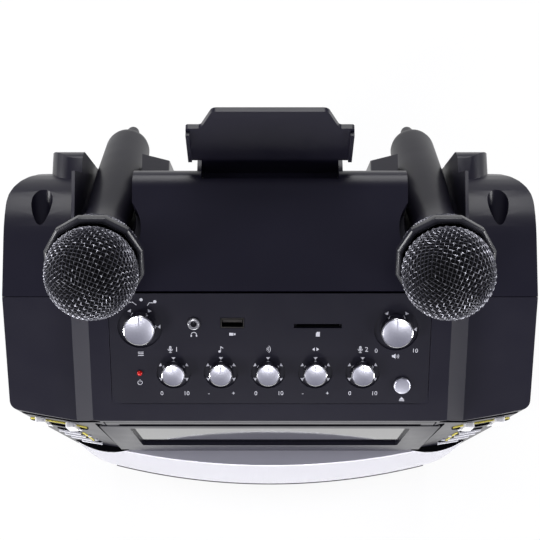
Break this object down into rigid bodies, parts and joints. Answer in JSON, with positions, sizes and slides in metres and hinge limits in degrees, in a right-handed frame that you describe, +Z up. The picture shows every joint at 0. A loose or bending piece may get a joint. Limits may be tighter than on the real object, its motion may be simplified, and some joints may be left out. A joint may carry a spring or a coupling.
{
  "type": "karaoke machine with disc door and microphones",
  "caption": "Tabletop karaoke cabinet with a sloped control panel, screen door over a disc drive, bowed speaker grille, phone cradle and resting microphones.",
  "frame": {"origin": "centre of the bounding box on the floor under the feet", "axes": "+X to the right seen from the front, +Y to the back, +Z up; the door and the grille face -Y"},
  "size_m": [0.311, 0.2333, 0.3976],
  "materials": {
    "shell_black": "semi-gloss moulded",
    "fascia_black": "fine satin",
    "rubber_black": "matte",
    "grille_silver": "satin silver, finely perforated",
    "knob_silver": "satin silver with a bright skirt",
    "bright_metal": "brushed",
    "inner_black": "matte moulded",
    "cone_black": "matte paper",
    "board_green": "lacquered",
    "core_steel": "lacquered laminations",
    "screen_glass": "glossy",
    "display_dark": "dark",
    "key_silver": "satin silver",
    "key_white": "satin white",
    "led_red": "clear red",
    "mic_black": "fine matte",
    "mic_mesh": "black woven wire",
    "drive_white": "moulded"
  },
  "bodies": {
    "cabinet": {"front_shell": "shell_black", "rear_shell": "shell_black", "base_cover": "inner_black", "rubber_feet": "rubber_black", "control_fascia": "fascia_black", "disc_tray": "inner_black", "drive_chassis": "bright_metal", "guide_rods": "bright_metal", "drive_motors": "bright_metal", "speaker_grille": "grille_silver", "woofer_frame": "core_steel", "woofer_cone": "cone_black", "main_board": "board_green", "control_board": "board_green", "potentiometers": "bright_metal", "headphone_jack": "bright_metal", "usb_socket": "bright_metal", "card_socket": "inner_black", "power_led": "led_red", "transformer": "core_steel", "jack_plate": "inner_black", "power_inlet": "inner_black", "shell_screws": "bright_metal"},
    "door": {"door_frame": "shell_black", "screen_glass": "screen_glass", "display_panel": "display_dark", "door_back": "inner_black"},
    "turntable": {"turntable": "bright_metal"},
    "pickup_sled": {"pickup_sled": "inner_black"},
    "sled_pinion": {"sled_pinion": "drive_white"},
    "function_dial": {"function_dial": "knob_silver"},
    "volume_dial": {"volume_dial": "knob_silver"},
    "knob_1": {"knob_1": "knob_silver"},
    "knob_2": {"knob_2": "knob_silver"},
    "knob_3": {"knob_3": "knob_silver"},
    "knob_4": {"knob_4": "knob_silver"},
    "knob_5": {"knob_5": "knob_silver"},
    "open_button": {"open_button": "knob_silver"},
    "door_latch": {"door_latch": "drive_white"},
    "left_key_a": {"left_key_a": "key_white"},
    "left_key_b": {"left_key_b": "key_white"},
    "left_bar_1": {"left_bar_1": "key_silver"},
    "left_bar_2": {"left_bar_2": "key_silver"},
    "left_bar_3": {"left_bar_3": "key_silver"},
    "left_bar_4": {"left_bar_4": "key_silver"},
    "right_key_a": {"right_key_a": "key_white"},
    "right_key_b": {"right_key_b": "key_white"},
    "right_bar_1": {"right_bar_1": "key_silver"},
    "right_bar_2": {"right_bar_2": "key_silver"},
    "right_bar_3": {"right_bar_3": "key_silver"},
    "right_bar_4": {"right_bar_4": "key_silver"},
    "phone_cradle": {"phone_cradle": "shell_black"},
    "left_microphone": {"left_mic_head": "mic_mesh", "left_mic_ring": "mic_black", "left_mic_grip": "mic_black"},
    "right_microphone": {"right_mic_head": "mic_mesh", "right_mic_ring": "mic_black", "right_mic_grip": "mic_black"}
  },
  "joints": [
    {"name": "door_hinge", "type": "hinge", "parent": "cabinet", "child": "door", "pos_m": [0, -0.10027, 0.158], "axis": [1, 0, 0], "range_deg": [0, 65]},
    {"name": "disc_spin", "type": "hinge", "parent": "cabinet", "child": "turntable", "pos_m": [0, -0.10327, 0.22], "axis": [0, 1, 0], "continuous": true},
    {"name": "sled_slide", "type": "slide", "parent": "cabinet", "child": "pickup_sled", "axis": [1, 0, 0], "range_m": [0, 0.034]},
    {"name": "pinion_spin", "type": "hinge", "parent": "cabinet", "child": "sled_pinion", "pos_m": [0.05, -0.10327, 0.1912], "axis": [0, 1, 0], "range_deg": [-5, 410]},
    {"name": "function_turn", "type": "hinge", "parent": "cabinet", "child": "function_dial", "pos_m": [-0.0749, -0.0541, 0.32279], "axis": [0, -0.5548, 0.832], "range_deg": [-60, 60]},
    {"name": "volume_turn", "type": "hinge", "parent": "cabinet", "child": "volume_dial", "pos_m": [0.0728, -0.05543, 0.3219], "axis": [0, -0.5548, 0.832], "range_deg": [-150, 150]},
    {"name": "knob_1_turn", "type": "hinge", "parent": "cabinet", "child": "knob_1", "pos_m": [-0.0561, -0.07756, 0.30715], "axis": [0, -0.5548, 0.832], "range_deg": [-150, 150]},
    {"name": "knob_2_turn", "type": "hinge", "parent": "cabinet", "child": "knob_2", "pos_m": [-0.0286, -0.07756, 0.30715], "axis": [0, -0.5548, 0.832], "range_deg": [-150, 150]},
    {"name": "knob_3_turn", "type": "hinge", "parent": "cabinet", "child": "knob_3", "pos_m": [-0.0011, -0.07756, 0.30715], "axis": [0, -0.5548, 0.832], "range_deg": [-150, 150]},
    {"name": "knob_4_turn", "type": "hinge", "parent": "cabinet", "child": "knob_4", "pos_m": [0.0264, -0.07756, 0.30715], "axis": [0, -0.5548, 0.832], "range_deg": [-150, 150]},
    {"name": "knob_5_turn", "type": "hinge", "parent": "cabinet", "child": "knob_5", "pos_m": [0.0539, -0.07756, 0.30715], "axis": [0, -0.5548, 0.832], "range_deg": [-150, 150]},
    {"name": "open_press", "type": "slide", "parent": "cabinet", "child": "open_button", "axis": [0, 0.5548, -0.832], "range_m": [0, 0.0025], "stiffness_N_per_m": 400},
    {"name": "latch_rock", "type": "hinge", "parent": "cabinet", "child": "door_latch", "pos_m": [0.0772, -0.08777, 0.2906], "axis": [1, 0, 0], "range_deg": [-13, 0.2]},
    {"name": "left_key_a_press", "type": "slide", "parent": "cabinet", "child": "left_key_a", "axis": [0, 1, 0], "range_m": [0, 0.0012], "stiffness_N_per_m": 300},
    {"name": "left_key_b_press", "type": "slide", "parent": "cabinet", "child": "left_key_b", "axis": [0, 1, 0], "range_m": [0, 0.0012], "stiffness_N_per_m": 300},
    {"name": "left_bar_1_press", "type": "slide", "parent": "cabinet", "child": "left_bar_1", "axis": [0, 1, 0], "range_m": [0, 0.0012], "stiffness_N_per_m": 300},
    {"name": "left_bar_2_press", "type": "slide", "parent": "cabinet", "child": "left_bar_2", "axis": [0, 1, 0], "range_m": [0, 0.0012], "stiffness_N_per_m": 300},
    {"name": "left_bar_3_press", "type": "slide", "parent": "cabinet", "child": "left_bar_3", "axis": [0, 1, 0], "range_m": [0, 0.0012], "stiffness_N_per_m": 300},
    {"name": "left_bar_4_press", "type": "slide", "parent": "cabinet", "child": "left_bar_4", "axis": [0, 1, 0], "range_m": [0, 0.0012], "stiffness_N_per_m": 300},
    {"name": "right_key_a_press", "type": "slide", "parent": "cabinet", "child": "right_key_a", "axis": [0, 1, 0], "range_m": [0, 0.0012], "stiffness_N_per_m": 300},
    {"name": "right_key_b_press", "type": "slide", "parent": "cabinet", "child": "right_key_b", "axis": [0, 1, 0], "range_m": [0, 0.0012], "stiffness_N_per_m": 300},
    {"name": "right_bar_1_press", "type": "slide", "parent": "cabinet", "child": "right_bar_1", "axis": [0, 1, 0], "range_m": [0, 0.0012], "stiffness_N_per_m": 300},
    {"name": "right_bar_2_press", "type": "slide", "parent": "cabinet", "child": "right_bar_2", "axis": [0, 1, 0], "range_m": [0, 0.0012], "stiffness_N_per_m": 300},
    {"name": "right_bar_3_press", "type": "slide", "parent": "cabinet", "child": "right_bar_3", "axis": [0, 1, 0], "range_m": [0, 0.0012], "stiffness_N_per_m": 300},
    {"name": "right_bar_4_press", "type": "slide", "parent": "cabinet", "child": "right_bar_4", "axis": [0, 1, 0], "range_m": [0, 0.0012], "stiffness_N_per_m": 300},
    {"name": "cradle_slide", "type": "slide", "parent": "cabinet", "child": "phone_cradle", "axis": [0, 0.2079, 0.9781], "range_m": [0, 0.045]},
    {"name": "left_microphone_lift", "type": "slide", "parent": "cabinet", "child": "left_microphone", "axis": [0, 0, 1], "range_m": [0, 0.09]},
    {"name": "right_microphone_lift", "type": "slide", "parent": "cabinet", "child": "right_microphone", "axis": [0, 0, 1], "range_m": [0, 0.09]}
  ],
  "couplings": [
    {"joint": "pinion_spin", "follows": "sled_slide", "rad_per_m": 208.33},
    {"joint": "latch_rock", "follows": "open_press", "rad_per_m": -84.47}
  ]
}
